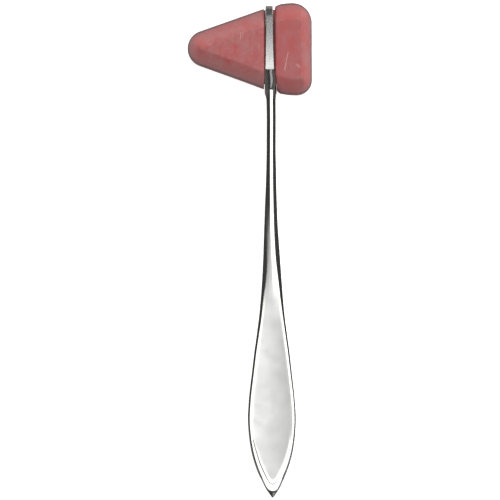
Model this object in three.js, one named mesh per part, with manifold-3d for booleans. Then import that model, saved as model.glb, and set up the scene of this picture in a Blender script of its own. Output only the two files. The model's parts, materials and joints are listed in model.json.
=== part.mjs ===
// A tomahawk-pattern reflex hammer: a triangular rubber head held by a steel strap, on a
// one-piece steel handle that runs from a fork under the head, down a thin shank, to a flat
// leaf-shaped grip with a pointed end.
//
// Units are millimetres. Each piece is drawn in the hammer's own frame: X across the head
// towards its wide striking edge, Y along the handle towards the head, Z out of the front
// face, with the origin at the middle of the strap. The finished hammer is then laid down
// the way it rests on a table, on the back of its head and the end of its leaf.

import * as THREE from "three";
import { mergeVertices } from "three/addons/utils/BufferGeometryUtils.js";
import Module from "manifold-3d";

const wasm = await Module();
wasm.setup();

const radians = THREE.MathUtils.degToRad;

// ---- Driving dimensions ----

// Rubber head, seen from the front.
const APEX_X = -31.5; // narrow striking edge
const BASE_X = 16.0; // wide striking edge
const APEX_RADIUS = 6.9;
const UPPER_CORNER_RADIUS = 7.3;
const LOWER_CORNER_RADIUS = 6;
const SIDE_ANGLE = radians(19.5); // each long side against the head's own axis
const SIDE_STRAIGHT_TO_X = -2.5; // where a long side begins to level off
const HEAD_HALF_HEIGHT = 17.7; // at the wide corners

// Rubber head, seen from the side.
const HEAD_HALF_THICKNESS = 8.25;
const BEVEL_WIDTH = 5.2; // how far the rounded border comes in over the face
const BEVEL_DEPTH = 6.75; // how much of the half thickness the border takes

// Steel loop round the head's waist, seen from the side: the strap and the fork's arms.
const LOOP_FACE = 8.4; // half thickness over the loop's flat front and back
const LOOP_TOP = 16.55; // outside of the strap over the head
const LOOP_CORNER = 4.2; // outer radius of the strap's two bends
const LOOP_THICKNESS = 1.5;
const ARM_TOP = -7.75; // where the flat front ends and an arm turns in
const ARM_ANGLE = radians(41); // each arm against the handle's axis
const SEAT = -13.2; // bottom of the fork's mouth, under the head
const FORK_FOOT = -14.9; // where the arms have run down to the shank
const FORK_TAIL = 1.4; // from there on, an arm's end slopes into the shank over this length
const FORK_ROOT = -26; // the arms reach this far into the shank, at half thickness FORK_ROOT_Z
const FORK_ROOT_Z = 1.7;
const SCARF_RISE = 3.0; // brazed joint of strap and arm: slanting through the metal
const SEAM = 0.4; // width of that joint on the outside
const RUBBER_GAP = 0.3; // clearance between the loop and the floor of the head's groove

// Widths along X, as [y, half width].
const STRAP_WIDTH = [
  [-12, 1.76],
  [-6.5, 1.72],
  [-3.85, 1.62],
  [2.3, 1.47],
  [8.5, 1.38],
  [18, 1.38],
];
const FORK_WIDTH = [
  [-26, 1.7],
  [-20, 2.2],
  [-17.3, 2.35],
  [-15.5, 2.35],
  [-13, 2.25],
  [-11, 2.15],
  [-9, 1.9],
  [-7.5, 1.75],
  [-3, 1.62],
];
const GROOVE_WIDTH = [
  [-20, 2.85],
  [-15.5, 2.75],
  [-12, 2.55],
  [-9.5, 2.3],
  [-7, 2.05],
  [20, 2.0],
];

// Handle, as [distance from its point, half width] and [distance, half thickness].
const HANDLE_POINT = -172.75; // y of the pointed end
const HANDLE_WIDTH = [
  [0, 0.3],
  [2.4, 2.15],
  [6.8, 4.25],
  [12.4, 6.5],
  [18.2, 8.05],
  [24, 8.9],
  [30.5, 9.28],
  [37.5, 8.92],
  [49, 7.65],
  [62, 6.02],
  [72.3, 4.73],
  [83.8, 3.7],
  [95.4, 3.06],
  [107, 2.67],
  [122.3, 2.32],
  [148.5, 2.25],
  [155, 2.25],
];
const HANDLE_THICKNESS = [
  [0, 0.2],
  [1.2, 0.62],
  [2.5, 1.02],
  [3.2, 1.08],
  [30, 1.15],
  [60, 1.35],
  [95, 1.75],
  [125, 1.92],
  [142, 2.0],
  [155, 2.2],
];
const RING_CROWDING = 1.25; // above 1, the rings along the handle are closer near its point
const LEAF_END = 84; // the shank's round section has become the leaf's flat one by here
const LEAF_START = 112; // and is still round here
const ROUND_POWER = 2; // superellipse powers of the shank's and the leaf's sections
const FLAT_POWER = 5;
const DISH_DEPTH = 0.35; // hollow of each face of the leaf
const DISH_FROM = 6; // the hollow begins this far from the point
const DISH_RUN_IN = 16; // reaches its full depth over this length
const DISH_FADE = 40; // grows shallower from here
const DISH_TO = 88; // and ends here
const DISH_SHARE = 0.86; // of the leaf's width

// Fineness of the curves.
const HANDLE_RINGS = 64;
const POINTS_AROUND = 28;
const CURVE_SEGMENTS = 8;
const BEVEL_SEGMENTS = 6;
const WIDTH_STEPS = 32; // along a strap's or a fork arm's edge
const GROOVE_STEPS = 60;

// Reach of the blanks that the outlines are cut from, beyond the finished pieces.
const STRIP_REACH = 4; // across the strap and the fork
const GROOVE_REACH = 5; // across the groove
const DEPTH_REACH = 12; // out of the front and the back
const HEAD_REACH = 40; // round the head

// ---- Materials ----

const rubber = new THREE.MeshStandardMaterial({ color: 0xb26866, roughness: 0.72, metalness: 0 });
const polishedSteel = new THREE.MeshStandardMaterial({
  color: 0xd6d7d6,
  roughness: 0.12,
  metalness: 1,
});

// ---- Helpers ----

// A smooth curve through [position, value] stations that never overshoots them.
function stationCurve(stations) {
  const last = stations.length - 1;
  const slope = (i) =>
    (stations[i + 1][1] - stations[i][1]) / (stations[i + 1][0] - stations[i][0]);
  const tangent = (i) => {
    if (i === 0) return slope(0);
    if (i === last) return slope(last - 1);
    const before = slope(i - 1);
    const after = slope(i);
    return before * after <= 0 ? 0 : (2 * before * after) / (before + after);
  };
  return (position) => {
    const at = THREE.MathUtils.clamp(position, stations[0][0], stations[last][0]);
    const i = Math.max(0, stations.findIndex(([s]) => s >= at) - 1);
    const span = stations[i + 1][0] - stations[i][0];
    const t = (at - stations[i][0]) / span;
    const [t2, t3] = [t * t, t * t * t];
    return (
      (2 * t3 - 3 * t2 + 1) * stations[i][1] +
      (t3 - 2 * t2 + t) * span * tangent(i) +
      (3 * t2 - 2 * t3) * stations[i + 1][1] +
      (t3 - t2) * span * tangent(i + 1)
    );
  };
}

// A closed three.js geometry as a manifold-3d solid.
function solid(geometry) {
  const bare = geometry.clone();
  bare.deleteAttribute("normal");
  bare.deleteAttribute("uv");
  const merged = mergeVertices(bare, 1e-4);
  return new wasm.Manifold(
    new wasm.Mesh({
      numProp: 3,
      vertProperties: new Float32Array(merged.attributes.position.array),
      triVerts: new Uint32Array(merged.index.array),
    }),
  );
}

// A manifold-3d solid as a named three.js mesh.
function part(name, body, material) {
  const { vertProperties, triVerts } = body.getMesh();
  const geometry = new THREE.BufferGeometry();
  geometry.setAttribute("position", new THREE.BufferAttribute(vertProperties, 3));
  geometry.setIndex(new THREE.BufferAttribute(triVerts, 1));
  geometry.computeVertexNormals();
  const mesh = new THREE.Mesh(geometry, material);
  mesh.name = name;
  return mesh;
}

// A side view, drawn with the shape's x along Z, carried right across X.
function acrossX(shape, halfWidth) {
  const geometry = new THREE.ExtrudeGeometry(shape, {
    depth: 2 * halfWidth,
    bevelEnabled: false,
    curveSegments: CURVE_SEGMENTS,
  });
  return solid(geometry.translate(0, 0, -halfWidth).rotateY(Math.PI / 2));
}

// A front view given by its half widths along Y, carried right through Z.
function throughZ(stations, steps) {
  const width = stationCurve(stations);
  const from = stations[0][0];
  const to = stations.at(-1)[0];
  const side = Array.from({ length: steps + 1 }, (_, i) => {
    const y = from + ((to - from) * i) / steps;
    return new THREE.Vector2(width(y), y);
  });
  const shape = new THREE.Shape([
    ...side,
    ...side.toReversed().map((p) => new THREE.Vector2(-p.x, p.y)),
  ]);
  const geometry = new THREE.ExtrudeGeometry(shape, { depth: 2 * DEPTH_REACH, bevelEnabled: false });
  return solid(geometry.translate(0, 0, -DEPTH_REACH));
}

// ---- Steel loop ----

// How far out of the middle plane an arm's outer face is at height y.
const armFace = (y) => LOOP_FACE - (ARM_TOP - y) * Math.tan(ARM_ANGLE);

// The loop's inner outline, drawn in by `inset`: the strap's inside, the arms' and the seat.
function loopMouth(inset) {
  const face = LOOP_FACE - LOOP_THICKNESS - inset;
  const corner = LOOP_CORNER - LOOP_THICKNESS - inset;
  const bendY = LOOP_TOP - LOOP_CORNER;
  const bendZ = LOOP_FACE - LOOP_CORNER;
  const turn = ARM_TOP + (LOOP_THICKNESS + inset) * Math.tan(ARM_ANGLE / 2);
  const seat = SEAT + inset;
  const seatZ = face - (turn - seat) * Math.tan(ARM_ANGLE);
  const shape = new THREE.Shape();
  shape.moveTo(seatZ, seat);
  shape.lineTo(face, turn);
  shape.absarc(bendZ, bendY, corner, 0, Math.PI / 2, false);
  shape.absarc(-bendZ, bendY, corner, Math.PI / 2, Math.PI, false);
  shape.lineTo(-face, turn);
  shape.lineTo(-seatZ, seat);
  return shape;
}

function headStrap() {
  const inside = LOOP_FACE - LOOP_THICKNESS;
  const bendY = LOOP_TOP - LOOP_CORNER;
  const bendZ = LOOP_FACE - LOOP_CORNER;
  const bendInside = LOOP_CORNER - LOOP_THICKNESS;
  const shape = new THREE.Shape();
  shape.moveTo(LOOP_FACE, ARM_TOP);
  shape.absarc(bendZ, bendY, LOOP_CORNER, 0, Math.PI / 2, false);
  shape.absarc(-bendZ, bendY, LOOP_CORNER, Math.PI / 2, Math.PI, false);
  shape.lineTo(-LOOP_FACE, ARM_TOP);
  shape.lineTo(-inside, ARM_TOP + SCARF_RISE);
  shape.absarc(-bendZ, bendY, bendInside, Math.PI, Math.PI / 2, true);
  shape.absarc(bendZ, bendY, bendInside, Math.PI / 2, 0, true);
  shape.lineTo(inside, ARM_TOP + SCARF_RISE);
  return acrossX(shape, STRIP_REACH).intersect(throughZ(STRAP_WIDTH, WIDTH_STEPS));
}

// ---- Handle ----

function fork() {
  const inside = LOOP_FACE - LOOP_THICKNESS;
  const turn = ARM_TOP + LOOP_THICKNESS * Math.tan(ARM_ANGLE / 2);
  const seatZ = inside - (turn - SEAT) * Math.tan(ARM_ANGLE);
  const tip = ARM_TOP - SEAM;
  const arm = [
    [FORK_ROOT_Z, FORK_ROOT],
    [(armFace(FORK_FOOT) + FORK_ROOT_Z) / 2, FORK_FOOT - FORK_TAIL],
    [armFace(FORK_FOOT), FORK_FOOT],
    [armFace(tip), tip],
    [inside, tip + SCARF_RISE],
    [inside, turn],
    [seatZ, SEAT],
  ];
  const outline = [...arm, ...arm.toReversed().map(([z, y]) => [-z, y])];
  const shape = new THREE.Shape(outline.map(([z, y]) => new THREE.Vector2(z, y)));
  return acrossX(shape, STRIP_REACH).intersect(throughZ(FORK_WIDTH, WIDTH_STEPS));
}

// Shank and leaf: a unit cylinder whose rings are moved to their stations and reshaped there.
function shankAndLeaf() {
  const halfWidth = stationCurve(HANDLE_WIDTH);
  const halfThickness = stationCurve(HANDLE_THICKNESS);
  const length = HANDLE_WIDTH.at(-1)[0];
  const { smoothstep } = THREE.MathUtils;
  const geometry = new THREE.CylinderGeometry(1, 1, 1, POINTS_AROUND, HANDLE_RINGS);
  const places = geometry.attributes.position;
  const fold = (unit, power) => Math.sign(unit) * Math.abs(unit) ** (2 / power);
  for (let i = 0; i < places.count; i += 1) {
    const s = length * (places.getY(i) + 0.5) ** RING_CROWDING;
    const flat = 1 - smoothstep(s, LEAF_END, LEAF_START);
    const power = THREE.MathUtils.lerp(ROUND_POWER, FLAT_POWER, flat);
    const across = fold(places.getX(i), power);
    const out = fold(places.getZ(i), power);
    const along =
      smoothstep(s, DISH_FROM, DISH_FROM + DISH_RUN_IN) * (1 - smoothstep(s, DISH_FADE, DISH_TO));
    const hollow = DISH_DEPTH * along * Math.max(0, 1 - (across / DISH_SHARE) ** 2);
    const z = out * halfThickness(s) - Math.sign(out) * Math.min(hollow, Math.abs(out));
    places.setXYZ(i, across * halfWidth(s), HANDLE_POINT + s, z);
  }
  return solid(geometry);
}

// ---- Rubber head ----

function headOutline() {
  const apexX = APEX_X + APEX_RADIUS;
  const lowerX = BASE_X - LOWER_CORNER_RADIUS;
  const lowerY = LOWER_CORNER_RADIUS - HEAD_HALF_HEIGHT;
  const upperX = BASE_X - UPPER_CORNER_RADIUS;
  const upperY = HEAD_HALF_HEIGHT - UPPER_CORNER_RADIUS;
  const tangentX = apexX - APEX_RADIUS * Math.sin(SIDE_ANGLE);
  const tangentY = APEX_RADIUS * Math.cos(SIDE_ANGLE);
  const sideY = (x) => tangentY + (x - tangentX) * Math.tan(SIDE_ANGLE);
  const levelX = tangentX + (HEAD_HALF_HEIGHT - tangentY) / Math.tan(SIDE_ANGLE);
  const shape = new THREE.Shape();
  shape.moveTo(tangentX, -tangentY);
  shape.lineTo(SIDE_STRAIGHT_TO_X, -sideY(SIDE_STRAIGHT_TO_X));
  shape.quadraticCurveTo(levelX, -HEAD_HALF_HEIGHT, lowerX, -HEAD_HALF_HEIGHT);
  shape.absarc(lowerX, lowerY, LOWER_CORNER_RADIUS, -Math.PI / 2, 0, false);
  shape.absarc(upperX, upperY, UPPER_CORNER_RADIUS, 0, Math.PI / 2, false);
  shape.quadraticCurveTo(levelX, HEAD_HALF_HEIGHT, SIDE_STRAIGHT_TO_X, sideY(SIDE_STRAIGHT_TO_X));
  shape.lineTo(tangentX, tangentY);
  shape.absarc(apexX, 0, APEX_RADIUS, Math.PI / 2 + SIDE_ANGLE, 1.5 * Math.PI - SIDE_ANGLE, false);
  return shape;
}

function rubberHead() {
  const wall = HEAD_HALF_THICKNESS - BEVEL_DEPTH;
  const blank = new THREE.ExtrudeGeometry(headOutline(), {
    depth: 2 * wall,
    bevelEnabled: true,
    bevelThickness: BEVEL_DEPTH,
    bevelSize: BEVEL_WIDTH,
    bevelOffset: -BEVEL_WIDTH,
    bevelSegments: BEVEL_SEGMENTS,
    curveSegments: CURVE_SEGMENTS,
  });
  const around = new THREE.Shape();
  around.absarc(0, 0, HEAD_REACH, 0, 2 * Math.PI, false);
  around.holes.push(loopMouth(RUBBER_GAP));
  const groove = acrossX(around, GROOVE_REACH).intersect(throughZ(GROOVE_WIDTH, GROOVE_STEPS));
  return solid(blank.translate(0, 0, -wall)).subtract(groove);
}

// ---- Assembly ----

// How far the hammer tips about X before its leaf, as well as its head, is on the table.
function restingTilt() {
  const halfThickness = stationCurve(HANDLE_THICKNESS);
  const onLeaf = Array.from({ length: DISH_TO }, (_, s) => s); // each millimetre of it
  return Math.min(
    ...onLeaf.map((s) =>
      Math.atan2(LOOP_FACE - halfThickness(s), ARM_TOP - (HANDLE_POINT + s)),
    ),
  );
}

const hammer = new THREE.Group();
hammer.add(
  part("rubber_head", rubberHead(), rubber),
  part("head_strap", headStrap(), polishedSteel),
  part("handle", shankAndLeaf().add(fork()), polishedSteel),
);
hammer.rotation.x = restingTilt();

// The origin is on the table, under the middle of the hammer's box.
const box = new THREE.Box3().setFromObject(hammer, true);
hammer.position.set(-(box.min.x + box.max.x) / 2, -(box.min.y + box.max.y) / 2, -box.min.z);

const resting = new THREE.Group();
resting.add(hammer);

export default resting;
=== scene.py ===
# A tomahawk-pattern reflex hammer, lying on a table face up: a triangular head of moulded rubber,
# gripped round its waist by a bent steel strap that is brazed to the fork of a one-piece steel handle.
# The three pieces are built in the hammer's own frame, in millimetres: X across the head towards its
# wide striking edge, Y along the handle towards the head, Z out of the front face, with the origin
# at the middle of the strap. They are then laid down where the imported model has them.

import json
import math

import bmesh
import bpy
from mathutils import Matrix, Vector, noise


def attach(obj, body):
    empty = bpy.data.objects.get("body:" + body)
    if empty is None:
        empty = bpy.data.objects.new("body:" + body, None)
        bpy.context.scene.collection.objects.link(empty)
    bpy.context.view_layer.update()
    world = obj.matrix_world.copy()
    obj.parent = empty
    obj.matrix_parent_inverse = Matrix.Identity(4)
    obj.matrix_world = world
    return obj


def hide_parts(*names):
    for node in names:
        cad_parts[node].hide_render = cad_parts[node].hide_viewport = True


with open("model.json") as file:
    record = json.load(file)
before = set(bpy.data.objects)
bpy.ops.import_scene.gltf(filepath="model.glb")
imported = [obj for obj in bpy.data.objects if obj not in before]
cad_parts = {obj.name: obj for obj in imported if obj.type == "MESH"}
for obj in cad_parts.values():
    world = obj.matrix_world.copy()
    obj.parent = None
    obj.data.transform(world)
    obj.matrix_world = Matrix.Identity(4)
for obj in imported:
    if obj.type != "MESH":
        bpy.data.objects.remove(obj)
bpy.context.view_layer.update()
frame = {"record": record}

MM = 0.001

# ---- Rubber head ----

APEX_X = -31.5  # narrow striking edge
BASE_X = 16.0  # wide striking edge
APEX_RADIUS = 6.95
UPPER_CORNER_RADIUS = 7.3
LOWER_CORNER_RADIUS = 6.0
SIDE_ANGLE = math.radians(19.6)  # each long side against the head's own axis
SIDE_STRAIGHT_TO_X = -2.5  # where a long side begins to level off
HEAD_HALF_HEIGHT = 17.55
HEAD_RISE = 0.2  # how far its middle is above the strap's
HEAD_LEAN = 0.012  # and how much it leans, sitting a little askew in the strap
HEAD_HALF_THICKNESS = 8.25
WALL_HALF_HEIGHT = 1.5  # upright band round the head's edge
WALL_SHADE_SHARE = 0.28  # its middle has as much painted shade as the border has this share of the way in
SIDE_BEVEL = 6.3  # how far the rounded border comes in over the face, along the long sides
BASE_BEVEL = 4.0  # and along the wide striking edge
NOSE_BEVEL = 5.0
BEVEL_FULLNESS = 1.28  # power of its section: 2 is an ellipse, and less leaves a slight edge
UNEVENNESS = [[0.05, 7], [0.02, 2.2]]  # of the moulding: [height, size] of its waves
FLASH_HEIGHT = 0.1  # the line where the mould's halves met
FLASH_WIDTH = 0.18
GROOVE_DEPTH = 1.45
GROOVE_LEFT = -2.1
GROOVE_RIGHT = 1.9

# How deep the moulding is let in on its way across the strap: [x, on the faces, on the edges].
GROOVE_PROFILE = [
    [-4.3, 0.0, 0.0],
    [-3.6, 0.08, 0.0],
    [-2.6, 0.4, 0.02],
    [-2.25, 0.6, 0.1],
    [GROOVE_LEFT, GROOVE_DEPTH, GROOVE_DEPTH],
    [GROOVE_RIGHT, GROOVE_DEPTH, GROOVE_DEPTH],
    [2.03, 0.35, 0.7],
    [2.4, 0.14, 0.4],
    [3.1, 0.04, 0.15],
    [4.2, 0.0, 0.0],
]

# ---- Steel strap ----

LOOP_FACE = 8.4  # half thickness over the loop's flat front and back
LOOP_TOP = 16.55
LOOP_CORNER = 4.2
LOOP_THICKNESS = 1.5
ARM_TOP = -7.75  # where the flat front ends and an arm turns in
ARM_ANGLE = math.radians(41)
SEAT = -13.2  # bottom of the fork's mouth
SCARF_RISE = 3.0  # the brazed joint slants through the metal
SEAM = 0.08  # what shows of that joint
SQUEEZE = 0.05  # between the rubber and the steel that grips it
STRAP_BEVEL = 0.22
STRAP_MIDDLE = -0.28
STRAP_BOW = 0.5  # how far the strap's front and back lean in towards the top
STRAP_WIDTH = [[-12, 1.76], [-6.5, 1.72], [-3.85, 1.62], [2.3, 1.47], [8.5, 1.38], [18, 1.38]]

# ---- Handle ----

HANDLE_POINT = -172.75
FORK_TOP = -3.0
FORK_FROM = -26
# Half width of the fork: [y, half width].
FORK_WIDTH = [
    [FORK_FROM, 2.25],
    [-20, 2.28],
    [-17.3, 2.35],
    [-15.5, 2.35],
    [-13, 2.25],
    [-11, 2.15],
    [-9, 1.88],
    [-7.5, 1.74],
    [-3, 1.62],
]
FORK_FILLET = 0.6  # softness of the turn from shank to arms
POINT_CURVE = 0.17  # the point's sloping facet is hollowed: it reaches this times x squared higher
POINT_CURVE_TO = 9.0  # and from here up the sections are straight across
# The handle isn't quite straight: how far its middle is from X = 0, at each y.
HANDLE_MIDDLE = [
    [HANDLE_POINT, 0.0],
    [-160, -0.1],
    [-140, -0.12],
    [-116, 0.04],
    [-100, 0.14],
    [-89, 0.2],
    [-78, 0.14],
    [-66, -0.05],
    [-50, -0.17],
    [-35, -0.05],
    [-26, 0.03],
    [-20, 0.0],
    [-16, 0.1],
    [-13, 0.08],
    [-11, 0.0],
    [-9, -0.22],
    [-3, -0.26],
]
# Along the leaf and shank, from the point: [distance, half width] and [distance, half thickness].
HANDLE_WIDTH = [
    [0, 0.3],
    [2.4, 2.15],
    [6.8, 4.25],
    [12.4, 6.5],
    [18.2, 8.05],
    [24, 8.9],
    [30.5, 9.28],
    [37.5, 8.92],
    [49, 7.65],
    [57, 6.72],
    [62, 6.02],
    [72.3, 4.73],
    [83.8, 3.8],
    [95.4, 3.12],
    [107, 2.6],
    [114.6, 2.45],
    [122.3, 2.32],
    [135, 2.27],
    [148.5, 2.25],
    [155, 2.25],
]
HANDLE_THICKNESS = [
    [0, 0.2],
    [1.2, 0.62],
    [2.5, 1.02],
    [3.2, 1.08],
    [30, 1.15],
    [60, 1.35],
    [95, 1.75],
    [125, 1.92],
    [142, 2.0],
    [154, 2.25],
    [162, 2.3],
]
# Degrees that the rounded front turns through before the upright side, along the handle. The left
# side was ground rounder than the right, and along the shank a little narrower, by LEFT_SHARE.
TURN_LEFT = [
    [0, 46],
    [100, 46],
    [110, 50],
    [124, 70],
    [135, 82],
    [153, 82],
    [156, 40],
    [158, 22],
    [170, 14],
]
TURN_RIGHT = [[0, 43], [125, 46], [135, 53], [152, 53], [157.5, 50], [160, 24], [170, 16]]
LEFT_SHARE = [[100, 1.0], [122, 0.92], [135, 0.88], [150, 0.88], [157, 0.95], [162, 1.0]]
# Half width of the hollow in each face of the leaf: [distance from the point, half width].
DISH_FROM = 5.3
DISH_TO = 88
DISH_WIDTH = [
    [DISH_FROM, 0.0],
    [6.0, 1.1],
    [6.9, 1.75],
    [9.7, 3.2],
    [13.4, 4.8],
    [17, 5.9],
    [19.9, 6.75],
    [24, 7.55],
    [30.5, 7.95],
    [37.5, 7.55],
    [49, 6.3],
    [62, 4.6],
    [76, 3.0],
    [DISH_TO, 1.9],
]
DISH_DEPTH = 0.27
DISH_RUN_IN = 20  # the hollow reaches its full depth over this length
DISH_FADE = 32  # and gets shallower from here on
DISH_LINE = 0.05  # the fine line that the grinding leaves along the hollow's lower edge
DISH_LINE_FADE = [22, 27]  # where it runs out
DISH_LINE_REACH = 22  # how far up from the hollow's end its path is followed
DISH_LINE_SHADE_WIDTH = 0.32  # half width of the painted shade along it
LEAF_END = 66  # the shank's round section has become the leaf's flat one by here
LEAF_START = [134, 100]  # and is still round here, on the left and on the right
# Width of the leaf's rounded edge, and the degrees that it turns through.
LEAF_SHOULDER_LEFT = [[0, 0.7], [12, 0.85], [30, 0.75], [57, 0.8], [72, 1.0], [90, 1.0]]
LEAF_SHOULDER_RIGHT = [
    [0, 1.5],
    [7, 1.6],
    [13, 1.4],
    [24, 1.2],
    [38, 1.0],
    [50, 1.15],
    [60, 1.2],
    [82, 1.5],
    [95, 1.3],
]
LEAF_TURN_LEFT = 47
LEAF_TURN_RIGHT = 41
MOUTH_CORNER = 0.9
ARRIS = 0.08  # softness of the sharp edges that are left by cutting the fork's mouth
ARRIS_FROM = -16

# Where the rows of the handle's mesh change their spacing: at the shank, at the fork, and in the
# stretch where the hollow's edge turns round.
SHANK_ROWS_FROM = 100
FORK_ROWS_FROM = 146.5
TURN_ROWS = [5.02, 5.16, 5.3, 5.44, 5.58, 5.7, 5.8, 5.92, 6.1, 6.3, 6.55, 6.8, 7.1, 7.4, 7.8]

# ---- Finish of the steel: how satin it is, from 0 for a mirror to 1 ----

SATIN_STRAP = 0.6
SATIN_SHANK = 0.2
SATIN_HOLLOW = 1.0
SATIN_EDGE = 0.6  # the leaf's right edge
SATIN_EDGE_WIDTH = [1.3, 0.9]
SATIN_EDGE_FADE = [40, 60]
SATIN_BORDER = [-0.4, 0.6]  # how gradually the hollow's satin begins
SATIN_BEFORE_END = 10  # it runs out from this far before the hollow's upper end
SATIN_FURTHER_LEFT = 20  # and this much further up on the left
# The bright band round the hollow's lower end: its width below and on the left, and where it ends.
BAND_BELOW = 1.5
BAND_LEFT = 0.25
BAND_FADE = [14, 30]
TOP_SHADE_DEPTH = [3, 0.6]  # the strap's top is painted darker as painted shade, increasingly between these depths

# Scratches and scuffs on the rubber's front: [x, y of one end, x, y of the other, width, strength].
SCRATCHES = [
    [6.8, -1.4, 5.3, -8.1, 0.22, 0.75],
    [6.1, -5.6, 5.6, -8.4, 0.3, 0.35],
    [13.0, 0.7, 15.7, -2.0, 0.3, 0.55],
    [-11.1, 7.0, -11.3, 3.7, 0.3, 0.5],
    [-10.2, 6.6, -10.5, 4.6, 0.35, 0.3],
    [-13.5, -7.2, -13.2, -7.7, 0.4, 0.6],
    [-16.9, -4.2, -12.9, -6.6, 0.3, 0.35],
    [10.2, -6.2, 11.0, -6.9, 0.7, 0.4],
    [12.0, 14.4, 12.3, 12.9, 0.6, 0.4],
    [1.95, 12.6, 2.2, 13.4, 0.35, 0.7],
    [2.1, -6.9, 2.15, -7.6, 0.35, 0.9],
]


# ---- Small helpers ----


def curve_through(stations, column=1):
    """A smooth function through [position, value] stations that never overshoots them."""
    xs = [s[0] for s in stations]
    ys = [s[column] for s in stations]
    last = len(xs) - 1
    slopes = [(ys[i + 1] - ys[i]) / (xs[i + 1] - xs[i]) for i in range(last)]
    tangents = [slopes[0]]
    for before, after in zip(slopes, slopes[1:]):
        level = before * after <= 0
        tangents.append(0 if level else 2 * before * after / (before + after))
    tangents.append(slopes[-1])

    def value(position):
        at = min(max(position, xs[0]), xs[-1])
        i = next(k for k in range(last) if at <= xs[k + 1])
        span = xs[i + 1] - xs[i]
        t = (at - xs[i]) / span
        return (
            (2 * t**3 - 3 * t**2 + 1) * ys[i]
            + (t**3 - 2 * t**2 + t) * span * tangents[i]
            + (3 * t**2 - 2 * t**3) * ys[i + 1]
            + (t**3 - t**2) * span * tangents[i + 1]
        )

    return value


HANDLE_HALF_WIDTH = curve_through(HANDLE_WIDTH)
HANDLE_HALF_THICKNESS = curve_through(HANDLE_THICKNESS)
FORK_HALF_WIDTH = curve_through(FORK_WIDTH)
DISH_HALF_WIDTH = curve_through(DISH_WIDTH)
HANDLE_MID = curve_through(HANDLE_MIDDLE)
# Left side, then right.
ROUND_TURN = [curve_through(TURN_LEFT), curve_through(TURN_RIGHT)]
LEFT_WIDTH_SHARE = curve_through(LEFT_SHARE)
SHOULDER = [curve_through(LEAF_SHOULDER_LEFT), curve_through(LEAF_SHOULDER_RIGHT)]
SHOULDER_TURN = [LEAF_TURN_LEFT, LEAF_TURN_RIGHT]


def smoothstep(x, low, high):
    t = min(max((x - low) / (high - low), 0), 1)
    return t * t * (3 - 2 * t)


def hammer_to_packed():
    """From the hammer's own frame, in mm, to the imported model's, found from the head's rest face."""
    rest = next(m for m in frame["record"]["mounts"] if m["name"] == "head_back_face")
    turn = Matrix.Rotation(math.asin(rest["axis"][1]), 4, "X")
    mark = Vector((-10, 0, -HEAD_HALF_THICKNESS)) * MM  # where that mount is on the hammer
    return Matrix.Translation(Vector(rest["pos_m"]) - turn @ mark) @ turn @ Matrix.Scale(MM, 4)


TO_PACKED = hammer_to_packed()


def linear(hex_colour):
    """An sRGB hex colour as linear RGBA."""
    parts = [int(hex_colour[i : i + 2], 16) / 255 for i in (1, 3, 5)]
    return [c / 12.92 if c <= 0.04045 else ((c + 0.055) / 1.055) ** 2.4 for c in parts] + [1]


def add_node(tree, kind, settings=None, links=None):
    """A shader node with its properties or socket values set, and its inputs linked."""
    made = tree.nodes.new(kind)
    for name, value in (settings or {}).items():
        if isinstance(name, str) and hasattr(made, name):
            setattr(made, name, value)
        else:
            made.inputs[name].default_value = value
    for name, source in (links or {}).items():
        tree.links.new(source, made.inputs[name])
    return made


def new_material(name):
    material = bpy.data.materials.new(name)
    material.use_nodes = True
    material.node_tree.nodes.clear()
    return material, material.node_tree


def finish_piece(name, bm, material, node, crease_angle):
    """Makes the mesh an object that stands for a CAD node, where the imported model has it."""
    bmesh.ops.remove_doubles(bm, verts=bm.verts, dist=0.002)
    bmesh.ops.recalc_face_normals(bm, faces=bm.faces)
    bm.transform(TO_PACKED)
    mesh = bpy.data.meshes.new(name)
    bm.to_mesh(mesh)
    bm.free()
    mesh.shade_smooth()
    mesh.set_sharp_from_angle(angle=math.radians(crease_angle))
    piece = bpy.data.objects.new(name, mesh)
    bpy.context.scene.collection.objects.link(piece)
    mesh.materials.append(material)
    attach(piece, "root")
    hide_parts(node)
    return piece


# ---- Rubber head ----


def head_edge(x, corner_radius):
    """How far the head's outline is from its axis at x, on the side with that corner radius."""
    nose_x = APEX_X + APEX_RADIUS
    straight_from = nose_x - APEX_RADIUS * math.sin(SIDE_ANGLE)
    corner_x = BASE_X - corner_radius
    if x < straight_from:
        return math.sqrt(max(0, APEX_RADIUS**2 - (x - nose_x) ** 2))
    if x > corner_x:
        rise = math.sqrt(max(0, corner_radius**2 - (x - corner_x) ** 2))
        return HEAD_HALF_HEIGHT - corner_radius + rise

    def side(at):
        return APEX_RADIUS * math.cos(SIDE_ANGLE) + (at - straight_from) * math.tan(SIDE_ANGLE)

    if x < SIDE_STRAIGHT_TO_X:
        return side(x)
    low = side(SIDE_STRAIGHT_TO_X)
    level_x = straight_from + (HEAD_HALF_HEIGHT - side(straight_from)) / math.tan(SIDE_ANGLE)
    a = SIDE_STRAIGHT_TO_X - 2 * level_x + corner_x
    b = 2 * (level_x - SIDE_STRAIGHT_TO_X)
    c = SIDE_STRAIGHT_TO_X - x
    t = -c / b if abs(a) < 1e-9 else (-b + math.sqrt(b * b - 4 * a * c)) / (2 * a)
    return (1 - t) ** 2 * low + (1 - (1 - t) ** 2) * HEAD_HALF_HEIGHT


def border_bevel(outward_x):
    """Width of the rounded border where the outline faces that way along X."""
    if outward_x > 0:
        return SIDE_BEVEL + (BASE_BEVEL - SIDE_BEVEL) * smoothstep(outward_x, 0.2, 0.95)
    return SIDE_BEVEL + (NOSE_BEVEL - SIDE_BEVEL) * smoothstep(-outward_x, 0.4, 0.95)


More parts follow.
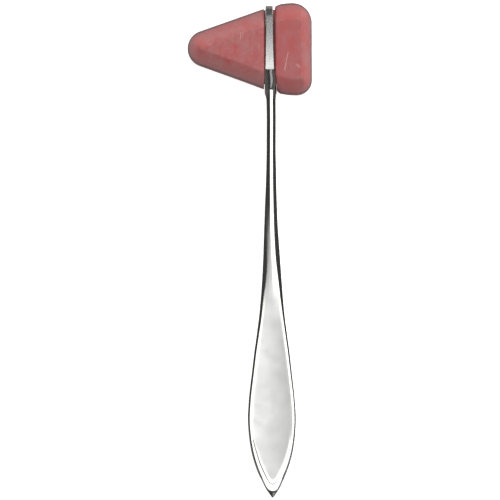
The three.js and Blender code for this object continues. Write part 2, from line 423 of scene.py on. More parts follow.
def head_columns():
    """The x of each column of the head's grid: close at both ends and at the groove's walls."""
    nose = [APEX_X + APEX_RADIUS * (1 - math.cos(math.radians(a))) for a in range(0, 72, 4)]
    side = [nose[-1] + (-4.6 - nose[-1]) * i / 20 for i in range(1, 20)]
    walls = [-4.6, -4.3, -4.0, -3.6, -3.2, -2.9, -2.6, -2.4, -2.25, -2.17, -2.1]
    walls += [-1.9, -1.0, 0.0, 1.0, 1.75, 1.9, 1.96, 2.03, 2.15, 2.4, 2.7, 3.1, 3.6, 4.2]
    flank = [4.2 + (9.2 - 4.2) * i / 6 for i in range(1, 6)]
    base = [BASE_X - (BASE_X - 9.2) * (1 - math.sin(math.radians(a))) for a in range(0, 92, 5)]
    return nose + side + walls + flank + base + [BASE_X]


def strap_bow(y):
    """How far the strap's front has leaned in at y."""
    share = (y - ARM_TOP) / (LOOP_TOP - LOOP_CORNER - ARM_TOP)
    return STRAP_BOW * min(max(share, 0), 1) ** 2


def inside_of_loop():
    """The line inside strap and fork, from the side, as (y, z) spots that the squeezed rubber fills."""
    inside = LOOP_FACE - LOOP_THICKNESS - SQUEEZE
    top = LOOP_TOP - LOOP_THICKNESS - SQUEEZE
    radius = LOOP_CORNER - LOOP_THICKNESS - SQUEEZE
    bend = Vector((top - radius, inside - radius - STRAP_BOW))
    spots = [Vector((top, bend.y * i / 20)) for i in range(20)]
    for i in range(24):
        angle = math.pi / 2 * i / 24
        spots.append(bend + radius * Vector((math.cos(angle), math.sin(angle))))
    turn = ARM_TOP + LOOP_THICKNESS * math.tan(ARM_ANGLE / 2)
    for i in range(90):
        y = bend.x + (turn - bend.x) * i / 90
        spots.append(Vector((y, inside - strap_bow(y))))
    seat_z = inside - (turn - SEAT - SQUEEZE) * math.tan(ARM_ANGLE)
    for i in range(60):
        y = turn + (SEAT + SQUEEZE - turn) * i / 60
        spots.append(Vector((y, inside - (turn - y) * math.tan(ARM_ANGLE))))
    spots += [Vector((SEAT + SQUEEZE, seat_z * (1 - i / 10))) for i in range(11)]
    return spots + [Vector((spot.x, -spot.y)) for spot in spots]


def rubber_head(material):
    columns = head_columns()
    steps = 1200
    samples = []
    for i in range(steps + 1):
        share = i / steps
        x = APEX_X + (BASE_X - APEX_X) * (1 - math.cos(math.pi * share)) / 2
        samples.append((x, head_edge(x, UPPER_CORNER_RADIUS), -head_edge(x, LOWER_CORNER_RADIUS)))
    border = [Vector((x, top)) for x, top, _ in samples]
    base_top, base_low = samples[-1][1], samples[-1][2]
    border += [Vector((BASE_X, base_top + (base_low - base_top) * i / 80)) for i in range(1, 80)]
    border += [Vector((x, low)) for x, _, low in reversed(samples)]
    weighted = []
    for before, point, after in zip(border, border[1:], border[2:]):
        run = after - before
        if run.length > 1e-6:
            weighted.append((point, border_bevel(-run.y / run.length)))

    def from_border(x, y):
        place = Vector((x, y))
        return min((place - point).length / width for point, width in weighted)

    def face_height(share):
        rest = max(0.0, 1 - share)
        deep = HEAD_HALF_THICKNESS - WALL_HALF_HEIGHT
        return WALL_HALF_HEIGHT + deep * (1 - rest**BEVEL_FULLNESS) ** (1 / BEVEL_FULLNESS)

    bm = bmesh.new()
    rows = 64
    bmesh.ops.create_grid(bm, x_segments=len(columns) - 1, y_segments=rows, size=1)
    border_layer = bm.verts.layers.float.new("border")
    for v in bm.verts:
        x = columns[round((v.co.x + 1) / 2 * (len(columns) - 1))]
        top = head_edge(x, UPPER_CORNER_RADIUS)
        low = -head_edge(x, LOWER_CORNER_RADIUS)
        y = (top + low) / 2 + math.sin(v.co.y * math.pi / 2) * (top - low) / 2
        v[border_layer] = from_border(x, y)
        v.co = (x, y + HEAD_RISE - HEAD_LEAN * x, face_height(v[border_layer]))
    bmesh.ops.remove_doubles(bm, verts=bm.verts, dist=0.001)
    bmesh.ops.mirror(bm, geom=bm.verts[:] + bm.edges[:] + bm.faces[:], axis="Z", merge_dist=0.0001)
    rim = [e for e in bm.edges if e.is_boundary]
    wall = bmesh.ops.bridge_loops(bm, edges=rim)
    upright = [e for e in wall["edges"] if abs(e.verts[0].co.z - e.verts[1].co.z) > 1]
    bmesh.ops.subdivide_edges(bm, edges=upright, cuts=9, use_grid_fill=True)
    bmesh.ops.recalc_face_normals(bm, faces=bm.faces)
    bm.normal_update()
    on_faces = curve_through(GROOVE_PROFILE, 1)
    on_edges = curve_through(GROOVE_PROFILE, 2)
    gripped = inside_of_loop()
    moves = []
    for v in bm.verts:
        # The upright wall's border share sets how much painted shade it gets: most at its edges.
        if abs(v.co.z) < WALL_HALF_HEIGHT - 0.01:
            v[border_layer] = WALL_SHADE_SHARE * (1 - abs(v.co.z) / WALL_HALF_HEIGHT)
        # Below the strap, the fork's wider arms push the groove's walls apart.
        wall = GROOVE_RIGHT if v.co.x > 0 else GROOVE_LEFT
        arm = HANDLE_MID(v.co.y) + math.copysign(FORK_HALF_WIDTH(v.co.y) + 0.04, wall)
        wider = max(0, abs(arm) - abs(wall)) if v.co.y < -9 else 0
        if GROOVE_LEFT - 0.01 < v.co.x < GROOVE_RIGHT + 0.01:
            seat = min(gripped, key=lambda spot: (spot - v.co.yz).length_squared)
            x = v.co.x * (1 + wider / abs(wall))
            moves.append((v, Vector((x, seat.x, seat.y)) - v.co))
            # Painted shade: the groove under the strap gets a low border share, which darkens it.
            v[border_layer] = 0.1
            continue
        inward = Vector((0, -v.normal.y, -v.normal.z))
        if inward.length < 1e-6:
            continue
        inward.normalize()
        flat = inward.z**2
        depth = flat * on_faces(v.co.x) + (1 - flat) * on_edges(v.co.x)
        uneven = sum(height * noise.noise(v.co / size) for height, size in UNEVENNESS)
        flash = FLASH_HEIGHT * math.exp(-((v.co.z / FLASH_WIDTH) ** 2)) * (abs(v.co.x) > 2.3)
        pushed = wider * (1 - smoothstep(abs(v.co.x), 2.1, 4.2))
        aside = Vector((math.copysign(pushed, v.co.x), 0, 0))
        moves.append((v, inward * depth + aside + v.normal * (uneven * (depth < 1) + flash)))
    for v, move in moves:
        v.co += move
    return finish_piece("head_rubber", bm, material, "rubber_head", 60)


# ---- Steel strap ----


def strap(material):
    """A strip bent round the head: its outer face is swept along the bends and thickened inwards."""
    width = curve_through(STRAP_WIDTH)
    steps = 14
    bend_y = LOOP_TOP - LOOP_CORNER
    bend_z = LOOP_FACE - LOOP_CORNER
    first = SCARF_RISE + 1  # the end stretch, long enough to slant
    bm = bmesh.new()
    edge = bm.edges.new([bm.verts.new((side, ARM_TOP, LOOP_FACE)) for side in (-1, 1)])

    def run(last, move, count):
        for _ in range(count):
            made = bmesh.ops.extrude_edge_only(bm, edges=[last])["geom"]
            verts = [g for g in made if isinstance(g, bmesh.types.BMVert)]
            bmesh.ops.translate(bm, verts=verts, vec=Vector(move) / count)
            last = next(g for g in made if isinstance(g, bmesh.types.BMEdge))
        return last

    def bend(last, centre_z):
        made = bmesh.ops.spin(
            bm,
            geom=[last, *last.verts],
            cent=(0, bend_y, centre_z),
            axis=(1, 0, 0),
            angle=-math.pi / 2,
            steps=steps,
            use_merge=False,
        )["geom_last"]
        return next(g for g in made if isinstance(g, bmesh.types.BMEdge))

    edge = run(edge, (0, first, 0), 1)
    edge = run(edge, (0, bend_y - ARM_TOP - first, 0), steps)
    edge = bend(edge, bend_z)
    edge = run(edge, (0, 0, -2 * bend_z), 3)
    edge = bend(edge, -bend_z)
    edge = run(edge, (0, ARM_TOP + first - bend_y, 0), steps)
    run(edge, (0, -first, 0), 1)
    bmesh.ops.recalc_face_normals(bm, faces=bm.faces)
    if sum(f.normal.dot(f.calc_center_median()) for f in bm.faces) < 0:
        bmesh.ops.reverse_faces(bm, faces=bm.faces)
    bmesh.ops.solidify(bm, geom=bm.faces[:], thickness=LOOP_THICKNESS)
    inner = LOOP_FACE - LOOP_THICKNESS / 2
    for v in bm.verts:
        if v.co.y < ARM_TOP + 0.01 and abs(v.co.z) < inner:
            v.co.y += SCARF_RISE
    for v in bm.verts:
        v.co.x = v.co.x * width(v.co.y) + STRAP_MIDDLE
        v.co.z -= math.copysign(strap_bow(v.co.y), v.co.z) * smoothstep(abs(v.co.z), 0, bend_z)
    bm.normal_update()
    corners = [e for e in bm.edges if e.calc_face_angle(0) > 1]
    ends = [e for e in corners if all(v.co.y < ARM_TOP + SCARF_RISE + 0.1 for v in e.verts)]
    ends = [e for e in ends if abs(e.verts[0].co.x - e.verts[1].co.x) > 1 or e.calc_length() > 3.2]
    lengthwise = [e for e in corners if e not in ends]
    bmesh.ops.bevel(
        bm,
        geom=lengthwise,
        offset=STRAP_BEVEL,
        affect="EDGES",
        segments=3,
        profile=0.5,
        material=-1,
        clamp_overlap=True,
    )
    satin = bm.verts.layers.float.new("satin")
    painted_top_shade = bm.verts.layers.float.new("painted_top_shade")
    for v in bm.verts:
        v[satin] = SATIN_STRAP
        # Painted shade: darker towards the strap's top.
        v[painted_top_shade] = smoothstep(LOOP_TOP - v.co.y, *TOP_SHADE_DEPTH)
    return finish_piece("strap_of_head", bm, material, "head_strap", 12)


# ---- Handle ----


def handle_section(y):
    """Both halves of the handle's section at y, right and left: (x, height) from the middle out."""
    s = y - HANDLE_POINT
    arm_face = LOOP_FACE - (ARM_TOP - y) * math.tan(ARM_ANGLE)
    shank = HANDLE_HALF_THICKNESS(s)
    full_width = HANDLE_HALF_WIDTH(s) if y < FORK_FROM else FORK_HALF_WIDTH(y)
    thick = shank + FORK_FILLET * math.log1p(math.exp((arm_face - shank) / FORK_FILLET))
    hollow = DISH_DEPTH * smoothstep(s, DISH_FROM, DISH_FROM + DISH_RUN_IN)
    hollow *= 1 - smoothstep(s, DISH_FADE, DISH_TO)
    dish = DISH_HALF_WIDTH(s)
    line = DISH_LINE * (1 - smoothstep(s, *DISH_LINE_FADE))

    def half(side):
        column = 1 if side > 0 else 0
        half_width = full_width * (LEFT_WIDTH_SHARE(s) if side < 0 else 1)
        leaf = 1 - smoothstep(s, LEAF_END, LEAF_START[column])
        radius = half_width / math.sin(math.radians(ROUND_TURN[column](s)))
        shoulder = min(SHOULDER[column](s), half_width * 0.6)
        shoulder_radius = shoulder / math.sin(math.radians(SHOULDER_TURN[column]))
        flat = half_width - shoulder
        mark = min(max(dish, 0.2), flat * 0.96)
        cut = min(0.26, (flat - mark) * 0.4, mark * 0.4)
        places = [mark * (j + 0.5) / 11 for j in range(10)]
        on_mark = len(places) + 1
        places += [mark - cut, mark, mark + cut]
        places += [mark + cut + (flat - mark - cut) * j / 3 for j in (1, 2)]
        places += [flat + shoulder * j / 4 for j in range(5)]
        pairs = []
        for j, place in enumerate(places):
            round_x = half_width * math.sin(math.pi / 2 * (j + 0.5) / (len(places) - 0.5))
            x = round_x + (place - round_x) * leaf
            rounded = thick - radius + math.sqrt(radius**2 - x * x)
            past = max(0, x - flat)
            level = thick - shoulder_radius + math.sqrt(shoulder_radius**2 - past * past)
            if x < dish:
                level -= hollow * (1 - (x / dish) ** 2)
            below_mark = j < on_mark and abs(s - DISH_FROM) < 0.01
            if (j == on_mark and s > DISH_FROM) or below_mark:
                level -= line * (0.35 if side > 0 else 1)
            pairs.append((HANDLE_MID(y) + side * x, rounded + (level - rounded) * leaf))
        return pairs

    return half(1), half(-1)


def point_curve(s):
    """How a section near the point is curved: its rise for each x squared, and the share of its
    width that keeps it inside the outline."""
    curve = POINT_CURVE * (1 - smoothstep(s, 2.6, POINT_CURVE_TO))
    edge = HANDLE_HALF_WIDTH(s)
    for _ in range(20):
        edge = HANDLE_HALF_WIDTH(s + curve * edge**2)
    return curve, edge / HANDLE_HALF_WIDTH(s)


def mouth_cutter():
    """What is cut out between the fork's arms, and above the slanting ends that join the strap."""
    inside = LOOP_FACE - LOOP_THICKNESS
    turn = ARM_TOP + LOOP_THICKNESS * math.tan(ARM_ANGLE / 2)
    seat_z = inside - (turn - SEAT) * math.tan(ARM_ANGLE)
    tip = ARM_TOP - SEAM
    slope = SCARF_RISE / LOOP_THICKNESS
    side = [
        (seat_z, SEAT),
        (inside, turn),
        (inside, tip + SCARF_RISE),
        (LOOP_FACE + 2, tip - 2 * slope),
        (LOOP_FACE + 6, tip - 2 * slope),
        (LOOP_FACE + 6, 10),
    ]
    bm = bmesh.new()
    outline = side + [(-z, y) for z, y in reversed(side)]
    face = bm.faces.new([bm.verts.new((-5, y, z)) for z, y in outline])
    made = bmesh.ops.extrude_face_region(bm, geom=[face])["geom"]
    verts = [g for g in made if isinstance(g, bmesh.types.BMVert)]
    bmesh.ops.translate(bm, verts=verts, vec=(10, 0, 0))
    seats = [e for e in bm.edges if all(abs(v.co.y - SEAT) < 0.01 for v in e.verts)]
    seats = [e for e in seats if abs(e.verts[0].co.x - e.verts[1].co.x) > 1]
    bmesh.ops.bevel(
        bm,
        geom=seats,
        offset=MOUTH_CORNER,
        affect="EDGES",
        segments=4,
        profile=0.5,
        material=-1,
    )
    bmesh.ops.recalc_face_normals(bm, faces=bm.faces)
    return bm


def cut_away(bm, cutter):
    """bm without what cutter covers."""
    scratch = []
    for source in (bm, cutter):
        mesh = bpy.data.meshes.new("scratch")
        source.to_mesh(mesh)
        source.free()
        scratch.append(bpy.data.objects.new("scratch", mesh))
        bpy.context.scene.collection.objects.link(scratch[-1])
    body, tool = scratch
    cut = body.modifiers.new("cut", "BOOLEAN")
    cut.operation = "DIFFERENCE"
    cut.solver = "EXACT"
    cut.object = tool
    bpy.context.view_layer.update()
    result = bmesh.new()
    graph = bpy.context.evaluated_depsgraph_get()
    result.from_object(body, graph)
    for o in scratch:
        mesh = o.data
        bpy.data.objects.remove(o)
        bpy.data.meshes.remove(mesh)
    return result


def handle_rows():
    """The y of each row of the handle's mesh, closest together at the point."""
    distances = [SHANK_ROWS_FROM * (i / 110) ** 1.35 for i in range(110)]
    distances = [d for d in distances if not 5 < d < 8] + TURN_ROWS
    leaf = [HANDLE_POINT + d for d in sorted(distances)]
    shank_length = FORK_ROWS_FROM - SHANK_ROWS_FROM
    shank = [HANDLE_POINT + SHANK_ROWS_FROM + shank_length * i / 34 for i in range(35)]
    fork = [shank[-1] + (FORK_TOP - shank[-1]) * i / 36 for i in range(1, 37)]
    return leaf + shank + fork


def mark_finish(bm):
    """Marks where the handle is satin, and where shade is painted along the fine line."""
    satin = bm.verts.layers.float.new("satin")
    painted_line_shade = bm.verts.layers.float.new("painted_line_shade")
    path = [DISH_FROM + DISH_LINE_REACH * (i / 260) ** 2 for i in range(261)]
    path = [Vector((DISH_HALF_WIDTH(s), s)) for s in path]
    for v in bm.verts:
        s = v.co.y - HANDLE_POINT
        aside = v.co.x - HANDLE_MID(v.co.y)
        low = 1 - smoothstep(s, *BAND_FADE)
        edge = DISH_HALF_WIDTH(s - BAND_BELOW * low) - low * (BAND_LEFT if aside < 0 else 0)
        inside = smoothstep(edge - abs(aside), *SATIN_BORDER) * (s > DISH_FROM + 1)
        further = SATIN_FURTHER_LEFT * smoothstep(-aside, -0.6, 0.6)
        inside *= 1 - smoothstep(s, DISH_TO - SATIN_BEFORE_END + further, DISH_TO + 1.6 * further)
        edging = smoothstep(HANDLE_HALF_WIDTH(s) - aside, *SATIN_EDGE_WIDTH)
        edging *= 1 - smoothstep(s, *SATIN_EDGE_FADE)
        v[satin] = SATIN_SHANK + (SATIN_HOLLOW - SATIN_SHANK) * inside
        v[satin] += (SATIN_EDGE - SATIN_SHANK) * edging
        # The painted shade along the line fades out sooner than the line ends, and more on the right.
        if s < DISH_FROM + DISH_LINE_REACH + 1:
            away = min((Vector((abs(aside), s)) - spot).length for spot in path)
            wiped = smoothstep(s + 1, *DISH_LINE_FADE) + 0.55 * smoothstep(s, 7, 10) * (aside > 0)
            v[painted_line_shade] = 1 - away / DISH_LINE_SHADE_WIDTH - wiped


def handle(material):
    """A forging lofted from its point to the fork, with the fork's mouth then cut out."""
    bm = bmesh.new()
    last = None
    for y in handle_rows():
        right, left = handle_section(y)
        front = right[::-1] + left
        loop = front + [(x, -z) for x, z in front[::-1]]
        is_point = last is None
        made = bmesh.ops.create_circle(bm, segments=len(loop), radius=1, cap_ends=is_point)["verts"]
        curve, share = point_curve(y - HANDLE_POINT)
        for v, (x, z) in zip(made, loop):
            v.co = (x * share, y + curve * (x * share) ** 2, z)
        touching = {e for v in made for e in v.link_edges}
        ring = [e for e in touching if all(v in made for v in e.verts)]
        if last:
            bmesh.ops.bridge_loops(bm, edges=last + ring)
        last = ring
    bmesh.ops.edgeloop_fill(bm, edges=last)
    bmesh.ops.recalc_face_normals(bm, faces=bm.faces)
    bm = cut_away(bm, mouth_cutter())
    bmesh.ops.remove_doubles(bm, verts=bm.verts, dist=0.01)
    bm.normal_update()
    at_fork = [e for e in bm.edges if min(v.co.y for v in e.verts) > ARRIS_FROM]
    bmesh.ops.bevel(
        bm,
        geom=[e for e in at_fork if e.calc_face_angle(0) > 0.7],
        offset=ARRIS,
        affect="EDGES",
        segments=2,
        profile=0.5,
        material=-1,
        clamp_overlap=True,
    )
    mark_finish(bm)
    return finish_piece("forged_handle", bm, material, "handle", 18)


# ---- Materials ----


def red_rubber():
    """Natural rubber, compression moulded: dull, soft red, with a chalky bloom that is uneven and
    rubbed into streaks, pale worn corners, and painted shade round the parting line and up the border."""
    material, tree = new_material("moulded_natural_rubber")
    place = add_node(tree, "ShaderNodeTexCoord").outputs["Object"]
    blotches = add_node(
        tree,
        "ShaderNodeTexNoise",
        {"Scale": 1 / (7 * MM), "Detail": 5.0, "Roughness": 0.62},
        {"Vector": place},
    )
    body = add_node(tree, "ShaderNodeValToRGB", {}, {"Fac": blotches.outputs["Fac"]})
    body.color_ramp.elements[0].position = 0.34
    body.color_ramp.elements[0].color = linear("#BF5958")
    body.color_ramp.elements[1].position = 0.66
    body.color_ramp.elements[1].color = linear("#B76C6B")

    # Bloom: sulphur and wax come to the surface as a dusty film, here in clouds about 2 mm across.
    clouds = add_node(
        tree,
        "ShaderNodeTexNoise",
        {"Scale": 1 / (2.2 * MM), "Detail": 6.0, "Roughness": 0.72, "Distortion": 0.6},
        {"Vector": place},
    )
    clouding = add_node(
        tree,
        "ShaderNodeMapRange",
        {"From Min": 0.42, "From Max": 0.72, "To Max": 0.58},
        {"Value": clouds.outputs["Fac"]},
    )
    across = add_node(tree, "ShaderNodeSeparateXYZ", {}, {0: place})
    wiped = add_node(
        tree,
        "ShaderNodeMapRange",
        {"From Min": 6 * MM, "From Max": 10 * MM, "To Min": 1.0, "To Max": 0.0},
        {"Value": across.outputs["X"]},
    )
    bloom = add_node(
        tree,
        "ShaderNodeMath",
        {"operation": "MULTIPLY"},
        {0: clouding.outputs["Result"], 1: wiped.outputs["Result"]},
    )
    dusty = add_node(
        tree,
        "ShaderNodeMix",
        {"data_type": "RGBA", 7: linear("#BE8A88")},
        {0: bloom.outputs[0], 6: body.outputs["Color"]},
    )

    # Scuffs: pale hairlines 0.2 mm wide and some 5 mm long, in two directions.
    streaks = []
    for turn, low in ((14, 0.72), (-52, 0.71)):
        hair_size = (1 / (0.3 * MM), 1 / (6 * MM), 1 / (3 * MM))
        along = add_node(
            tree,
            "ShaderNodeMapping",
            {"Rotation": (0, 0, math.radians(turn)), "Scale": hair_size},
            {"Vector": place},
        )
        hairs = add_node(
            tree,
            "ShaderNodeTexNoise",
            {"Scale": 1.0, "Detail": 2.0, "Roughness": 0.4},
            {"Vector": along.outputs[0]},
        )
        picked = add_node(
            tree,
            "ShaderNodeMapRange",
            {"From Min": low, "From Max": low + 0.09, "To Max": 0.6},
            {"Value": hairs.outputs["Fac"]},
        )
        streaks.append(picked.outputs["Result"])
    scuffs = add_node(tree, "ShaderNodeMath", {"operation": "MAXIMUM"}, {0: streaks[0], 1: streaks[1]})
    scuffed = add_node(
        tree,
        "ShaderNodeMix",
        {"data_type": "RGBA", 7: linear("#D3A6A2")},
        {0: scuffs.outputs[0], 6: dusty.outputs[2]},
    )

    # Wear: the line where the face turns into its border is rubbed pale, in specks.
    border = add_node(tree, "ShaderNodeAttribute", {"attribute_name": "border"}).outputs["Fac"]
    off_line = add_node(tree, "ShaderNodeMath", {"operation": "SUBTRACT", 1: 1.0}, {0: border})
    distance = add_node(tree, "ShaderNodeMath", {"operation": "ABSOLUTE"}, {0: off_line.outputs[0]})
    line = add_node(
        tree,
        "ShaderNodeMapRange",
        {"From Min": 0.01, "From Max": 0.1, "To Min": 1.0, "To Max": 0.0},
        {"Value": distance.outputs[0]},
    )
    specks = add_node(
        tree,
        "ShaderNodeTexNoise",
        {"Scale": 1 / (3 * MM), "Detail": 6.0, "Roughness": 0.75},
        {"Vector": place},
    )
    speckled = add_node(
        tree,
        "ShaderNodeMapRange",
        {"From Min": 0.45, "From Max": 0.68, "To Min": 0.04, "To Max": 0.5},
        {"Value": specks.outputs["Fac"]},
    )
    wear = add_node(
        tree,
        "ShaderNodeMath",
        {"operation": "MULTIPLY"},
        {0: line.outputs["Result"], 1: speckled.outputs["Result"]},
    )
    worn = add_node(
        tree,
        "ShaderNodeMix",
        {"data_type": "RGBA", 7: linear("#C79490")},
        {0: wear.outputs[0], 6: scuffed.outputs[2]},
    )

    # The deepest scratches, each a soft-edged stroke from one end to the other.
    marks = None
    for x1, y1, x2, y2, wide, strength in SCRATCHES:
        start, end = (TO_PACKED @ Vector((x, y, HEAD_HALF_THICKNESS)) for x, y in ((x1, y1), (x2, y2)))
        run = end - start
        offset = add_node(
            tree,
            "ShaderNodeVectorMath",
            {"operation": "SUBTRACT", 1: start},
            {0: place},
        )
        ahead = add_node(
            tree,
            "ShaderNodeVectorMath",
            {"operation": "DOT_PRODUCT", 1: run / run.length_squared},
            {0: offset.outputs[0]},
        )
        reach = add_node(
            tree,
            "ShaderNodeMath",
            {"operation": "MULTIPLY", 1: 1.0, "use_clamp": True},
            {0: ahead.outputs["Value"]},
        )
        nearest = add_node(
            tree,
            "ShaderNodeVectorMath",
            {"operation": "SCALE", 0: run},
            {"Scale": reach.outputs[0]},
        )
        gap = add_node(
            tree,
            "ShaderNodeVectorMath",
            {"operation": "DISTANCE"},
            {0: offset.outputs[0], 1: nearest.outputs[0]},
        )
        stroke = add_node(
            tree,
            "ShaderNodeMapRange",
            {"From Max": wide * MM, "To Min": strength, "To Max": 0.0},
            {"Value": gap.outputs["Value"]},
        ).outputs["Result"]
        if marks:
            both = add_node(tree, "ShaderNodeMath", {"operation": "MAXIMUM"}, {0: marks, 1: stroke})
            stroke = both.outputs[0]
        marks = stroke
    scratched = add_node(
        tree,
        "ShaderNodeMix",
        {"data_type": "RGBA", 7: linear("#DDB4AE")},
        {0: marks, 6: worn.outputs[2]},
    )

    # Painted shade: dark along the parting line, up the foot of the border and in the groove under the
    # strap.
    painted_shade_ramp = add_node(tree, "ShaderNodeValToRGB", {}, {"Fac": border})
    painted_shade_ramp.color_ramp.elements[0].color = (1, 1, 1, 1)
    painted_shade_ramp.color_ramp.elements[1].color = (0, 0, 0, 1)
    painted_shade_ramp.color_ramp.elements[1].position = 0.95
    painted_shade_ramp.color_ramp.elements.new(0.07).color = (0.9, 0.9, 0.9, 1)
    painted_shade_ramp.color_ramp.elements.new(0.17).color = (0.36, 0.36, 0.36, 1)
    painted_shade_ramp.color_ramp.elements.new(0.5).color = (0.14, 0.14, 0.14, 1)
    painted_shade_mix = add_node(
        tree,
        "ShaderNodeMix",
        {"data_type": "RGBA", 7: linear("#482F31")},
        {0: painted_shade_ramp.outputs["Color"], 6: scratched.outputs[2]},
    )
    grain = add_node(
        tree,
        "ShaderNodeTexNoise",
        {"Scale": 1 / (0.35 * MM), "Detail": 4.0, "Roughness": 0.6},
        {"Vector": place},
    )
    bump = add_node(
        tree,
        "ShaderNodeBump",
        {"Strength": 0.35, "Distance": 0.08 * MM},
        {"Height": grain.outputs["Fac"]},
    )
    dullness = add_node(
        tree,
        "ShaderNodeMapRange",
        {"From Min": 0.35, "From Max": 0.7, "To Min": 0.5, "To Max": 0.72},
        {"Value": clouds.outputs["Fac"]},
    )
    shader = add_node(
        tree,
        "ShaderNodeBsdfPrincipled",
        {"IOR": 1.52},
        {
            "Base Color": painted_shade_mix.outputs[2],
            "Roughness": dullness.outputs["Result"],
            "Normal": bump.outputs["Normal"],
        },
    )
    add_node(tree, "ShaderNodeOutputMaterial", {}, {"Surface": shader.outputs["BSDF"]})
    return material


def stainless_steel():
    """Forged stainless steel, buffed to a mirror on the shank and left satin on the strap and in the
    hollows of the grip, where the polishing wheel's fine lines run lengthwise. Its colour is painted
    darker and brownish, as painted shade, where the strap bends over the top and along the fine
    line in the grip."""
    material, tree = new_material("buffed_stainless_steel")
    place = add_node(tree, "ShaderNodeTexCoord").outputs["Object"]
    satin = add_node(tree, "ShaderNodeAttribute", {"attribute_name": "satin"}).outputs["Fac"]
    painted_top_shade = add_node(tree, "ShaderNodeAttribute", {"attribute_name": "painted_top_shade"}).outputs["Fac"]
    painted_line_shade = add_node(tree, "ShaderNodeAttribute", {"attribute_name": "painted_line_shade"}).outputs["Fac"]
    # The wheel's lines are finer than 0.1 mm, and are drawn 0.2 mm wide so that they show.
    lengthwise = add_node(
        tree,
        "ShaderNodeMapping",
        {"Scale": (1 / (0.22 * MM), 1 / (9 * MM), 1 / (0.6 * MM))},
        {"Vector": place},
    )
    lines = add_node(
        tree,
        "ShaderNodeTexNoise",
        {"Scale": 1.0, "Detail": 4.0, "Roughness": 0.65},
        {"Vector": lengthwise.outputs[0]},
    )
    smears = add_node(
        tree,
        "ShaderNodeTexNoise",
        {"Scale": 1 / (5 * MM), "Detail": 4.0, "Roughness": 0.55},
        {"Vector": place},
    )
    roughness = add_node(
        tree,
        "ShaderNodeMapRange",
        {"To Min": 0.03, "To Max": 0.4},
        {"Value": satin},
    )
    handled = add_node(
        tree,
        "ShaderNodeMapRange",
        {"From Min": 0.35, "From Max": 0.7, "To Min": -0.02, "To Max": 0.04},
        {"Value": smears.outputs["Fac"]},
    )
    uneven = add_node(
        tree,
        "ShaderNodeMath",
        {"operation": "ADD"},
        {0: roughness.outputs["Result"], 1: handled.outputs["Result"]},
    )
    relief = add_node(
        tree,
        "ShaderNodeMapRange",
        {"From Min": 0.2, "To Min": 0.0, "To Max": 0.16},
        {"Value": satin},
    )
    bump = add_node(
        tree,
        "ShaderNodeBump",
        {"Distance": 0.02 * MM},
        {"Height": lines.outputs["Fac"], "Strength": relief.outputs["Result"]},
    )
    bright = add_node(
        tree,
        "ShaderNodeMix",
        {"data_type": "RGBA", 6: linear("#E0E1DF"), 7: linear("#E9E9E6")},
        {0: lines.outputs["Fac"]},
    )
    # Painted shade: darker over the strap's top and along the fine line in the grip.
    line_shade_share = add_node(tree, "ShaderNodeMapRange", {"To Max": 0.8}, {"Value": painted_line_shade})
    darkened = add_node(
        tree,
        "ShaderNodeMath",
        {"operation": "MAXIMUM"},
        {0: painted_top_shade, 1: line_shade_share.outputs["Result"]},
    )
    colour = add_node(
        tree,
        "ShaderNodeMix",
        {"data_type": "RGBA", 7: linear("#57514E")},
        {0: darkened.outputs[0], 6: bright.outputs[2]},
    )
    shader = add_node(
        tree,
        "ShaderNodeBsdfPrincipled",
        {"Metallic": 1.0},
        {
            "Base Color": colour.outputs[2],
            "Roughness": uneven.outputs[0],
            "Normal": bump.outputs["Normal"],
        },
    )
    add_node(tree, "ShaderNodeOutputMaterial", {}, {"Surface": shader.outputs["BSDF"]})
    return material


def light_table():
    """Opal acrylic lit from below, which takes the shadows out."""
    material, tree = new_material("opal_acrylic_light_table")
    shader = add_node(
        tree,
        "ShaderNodeBsdfPrincipled",
        {
            "Base Color": linear("#F2F2F2"),
            "Roughness": 1.0,
            "Specular IOR Level": 0.0,
            "Emission Color": linear("#FFFFFF"),
            "Emission Strength": 0.7,
        },
    )
    add_node(tree, "ShaderNodeOutputMaterial", {}, {"Surface": shader.outputs["BSDF"]})
    return material


# ---- Studio ----


def softbox(name, place, aim, size, energy):
    light = bpy.data.lights.new(name, "AREA")
    light.shape = "RECTANGLE"
    light.size, light.size_y = size
    light.energy = energy
    lamp = bpy.data.objects.new(name, light)
    lamp.location = place
    lamp.rotation_euler = (Vector(aim) - Vector(place)).to_track_quat("-Z", "Y").to_euler()
    bpy.context.scene.collection.objects.link(lamp)
    return lamp


def feather(lamp, left, near):
    """Fades a softbox's light towards its left and near edges, over those shares of its size."""
    lamp.data.use_nodes = True
    tree = lamp.data.node_tree
    tree.nodes.clear()
    spot = add_node(tree, "ShaderNodeNewGeometry").outputs["Parametric"]
    share = add_node(tree, "ShaderNodeSeparateXYZ", {}, {0: spot})
    fades = []
    for axis, over in (("X", left), ("Y", near)):
        fade = add_node(
            tree,
            "ShaderNodeMapRange",
            {"From Max": over, "To Min": 0.04},
            {"Value": share.outputs[axis]},
        )
        fades.append(fade.outputs["Result"])
    both = add_node(tree, "ShaderNodeMath", {"operation": "MULTIPLY"}, {0: fades[0], 1: fades[1]})
    glow = add_node(tree, "ShaderNodeEmission", {}, {"Strength": both.outputs[0]})
    add_node(tree, "ShaderNodeOutputLight", {}, {"Surface": glow.outputs[0]})


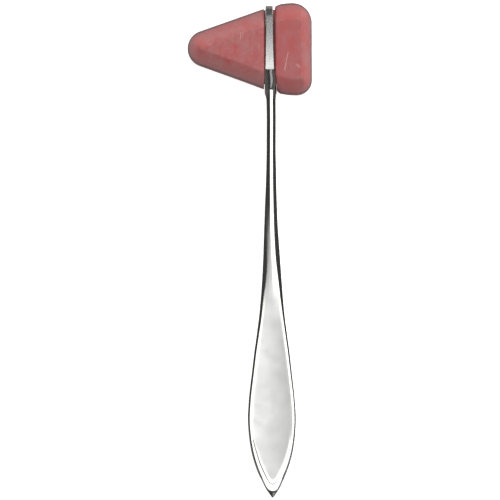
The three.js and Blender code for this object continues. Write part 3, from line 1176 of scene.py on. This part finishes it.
def studio_world():
    """A dark room for the steel to mirror, soft light for everything else, and a pale backdrop."""
    world = bpy.data.worlds.new("studio")
    world.use_nodes = True
    tree = world.node_tree
    tree.nodes.clear()
    ray = add_node(tree, "ShaderNodeLightPath")
    sky = add_node(tree, "ShaderNodeTexCoord")
    lean = add_node(
        tree,
        "ShaderNodeVectorMath",
        {"operation": "DOT_PRODUCT", 1: (0.35, 0.8, 0.2)},
        {0: sky.outputs["Generated"]},
    )
    level = add_node(
        tree,
        "ShaderNodeMapRange",
        {"From Min": -0.9, "From Max": 0.9, "To Min": 0.03, "To Max": 0.62},
        {"Value": lean.outputs["Value"]},
    )
    fill = add_node(
        tree,
        "ShaderNodeBackground",
        {"Color": linear("#FFFFFF")},
        {"Strength": level.outputs["Result"]},
    )
    # The room is dim to the sides and ahead, with paler walls in its corners.
    toward = add_node(tree, "ShaderNodeSeparateXYZ", {}, {0: sky.outputs["Generated"]})
    corner = add_node(
        tree,
        "ShaderNodeMath",
        {"operation": "MULTIPLY"},
        {0: toward.outputs["X"], 1: toward.outputs["Y"]},
    )
    corners = add_node(tree, "ShaderNodeMath", {"operation": "ABSOLUTE"}, {0: corner.outputs[0]})
    dimness = add_node(
        tree,
        "ShaderNodeMapRange",
        {"From Max": 0.5, "To Max": 0.4},
        {"Value": corners.outputs[0]},
    )
    behind = add_node(
        tree,
        "ShaderNodeMapRange",
        {"From Min": -0.7, "From Max": 0.7, "To Min": 0.25, "To Max": 1.2},
        {"Value": toward.outputs["Y"]},
    )
    walls = add_node(
        tree,
        "ShaderNodeMath",
        {"operation": "MULTIPLY_ADD", 2: 0.03},
        {0: dimness.outputs["Result"], 1: behind.outputs["Result"]},
    )
    room = add_node(
        tree,
        "ShaderNodeBackground",
        {"Color": linear("#FFFFFF")},
        {"Strength": walls.outputs[0]},
    )
    backdrop = add_node(tree, "ShaderNodeBackground", {"Color": linear("#FFFFFF"), "Strength": 1.0})
    mirrored = add_node(
        tree,
        "ShaderNodeMixShader",
        {},
        {0: ray.outputs["Is Glossy Ray"], 1: fill.outputs[0], 2: room.outputs[0]},
    )
    seen = add_node(
        tree,
        "ShaderNodeMixShader",
        {},
        {0: ray.outputs["Is Camera Ray"], 1: mirrored.outputs[0], 2: backdrop.outputs[0]},
    )
    add_node(tree, "ShaderNodeOutputWorld", {}, {"Surface": seen.outputs[0]})
    bpy.context.scene.world = world


def studio():
    bm = bmesh.new()
    bmesh.ops.create_grid(bm, x_segments=1, y_segments=1, size=3)
    mesh = bpy.data.meshes.new("floor")
    bm.to_mesh(mesh)
    bm.free()
    floor = bpy.data.objects.new("floor", mesh)
    bpy.context.scene.collection.objects.link(floor)
    mesh.materials.append(light_table())
    bpy.context.scene.view_settings.view_transform = "Standard"
    studio_world()
    # The overhead makes the steel's broad highlights and the low strip those on the fork's sloping
    # arms. The key shows up the rubber, and isn't mirrored in the steel.
    overhead = softbox("overhead", (0.3, -0.255, 1.0), (0.3, -0.255, 0), (0.84, 0.73), 3.95)
    feather(overhead, 0.15, 0.18)
    softbox("low_front", (0.16, -1.3, 0.68), (0.16, 0.0, 0.68), (0.24, 1.04), 0.34)
    key = softbox("key", (0.28, 0.95, 0.85), (0, 0, 0), (0.7, 0.7), 7.2)
    key.visible_glossy = False


def camera():
    data = bpy.data.cameras.new("camera")
    data.lens = 150
    data.sensor_width = 36
    eye = bpy.data.objects.new("camera", data)
    eye.location = (-0.0004, 0.0007, 0.8075)
    eye.rotation_euler = (0, 0, math.radians(-0.37))
    bpy.context.scene.collection.objects.link(eye)
    bpy.context.scene.camera = eye


camera()
steel = stainless_steel()
rubber_head(red_rubber())
strap(steel)
handle(steel)
studio()
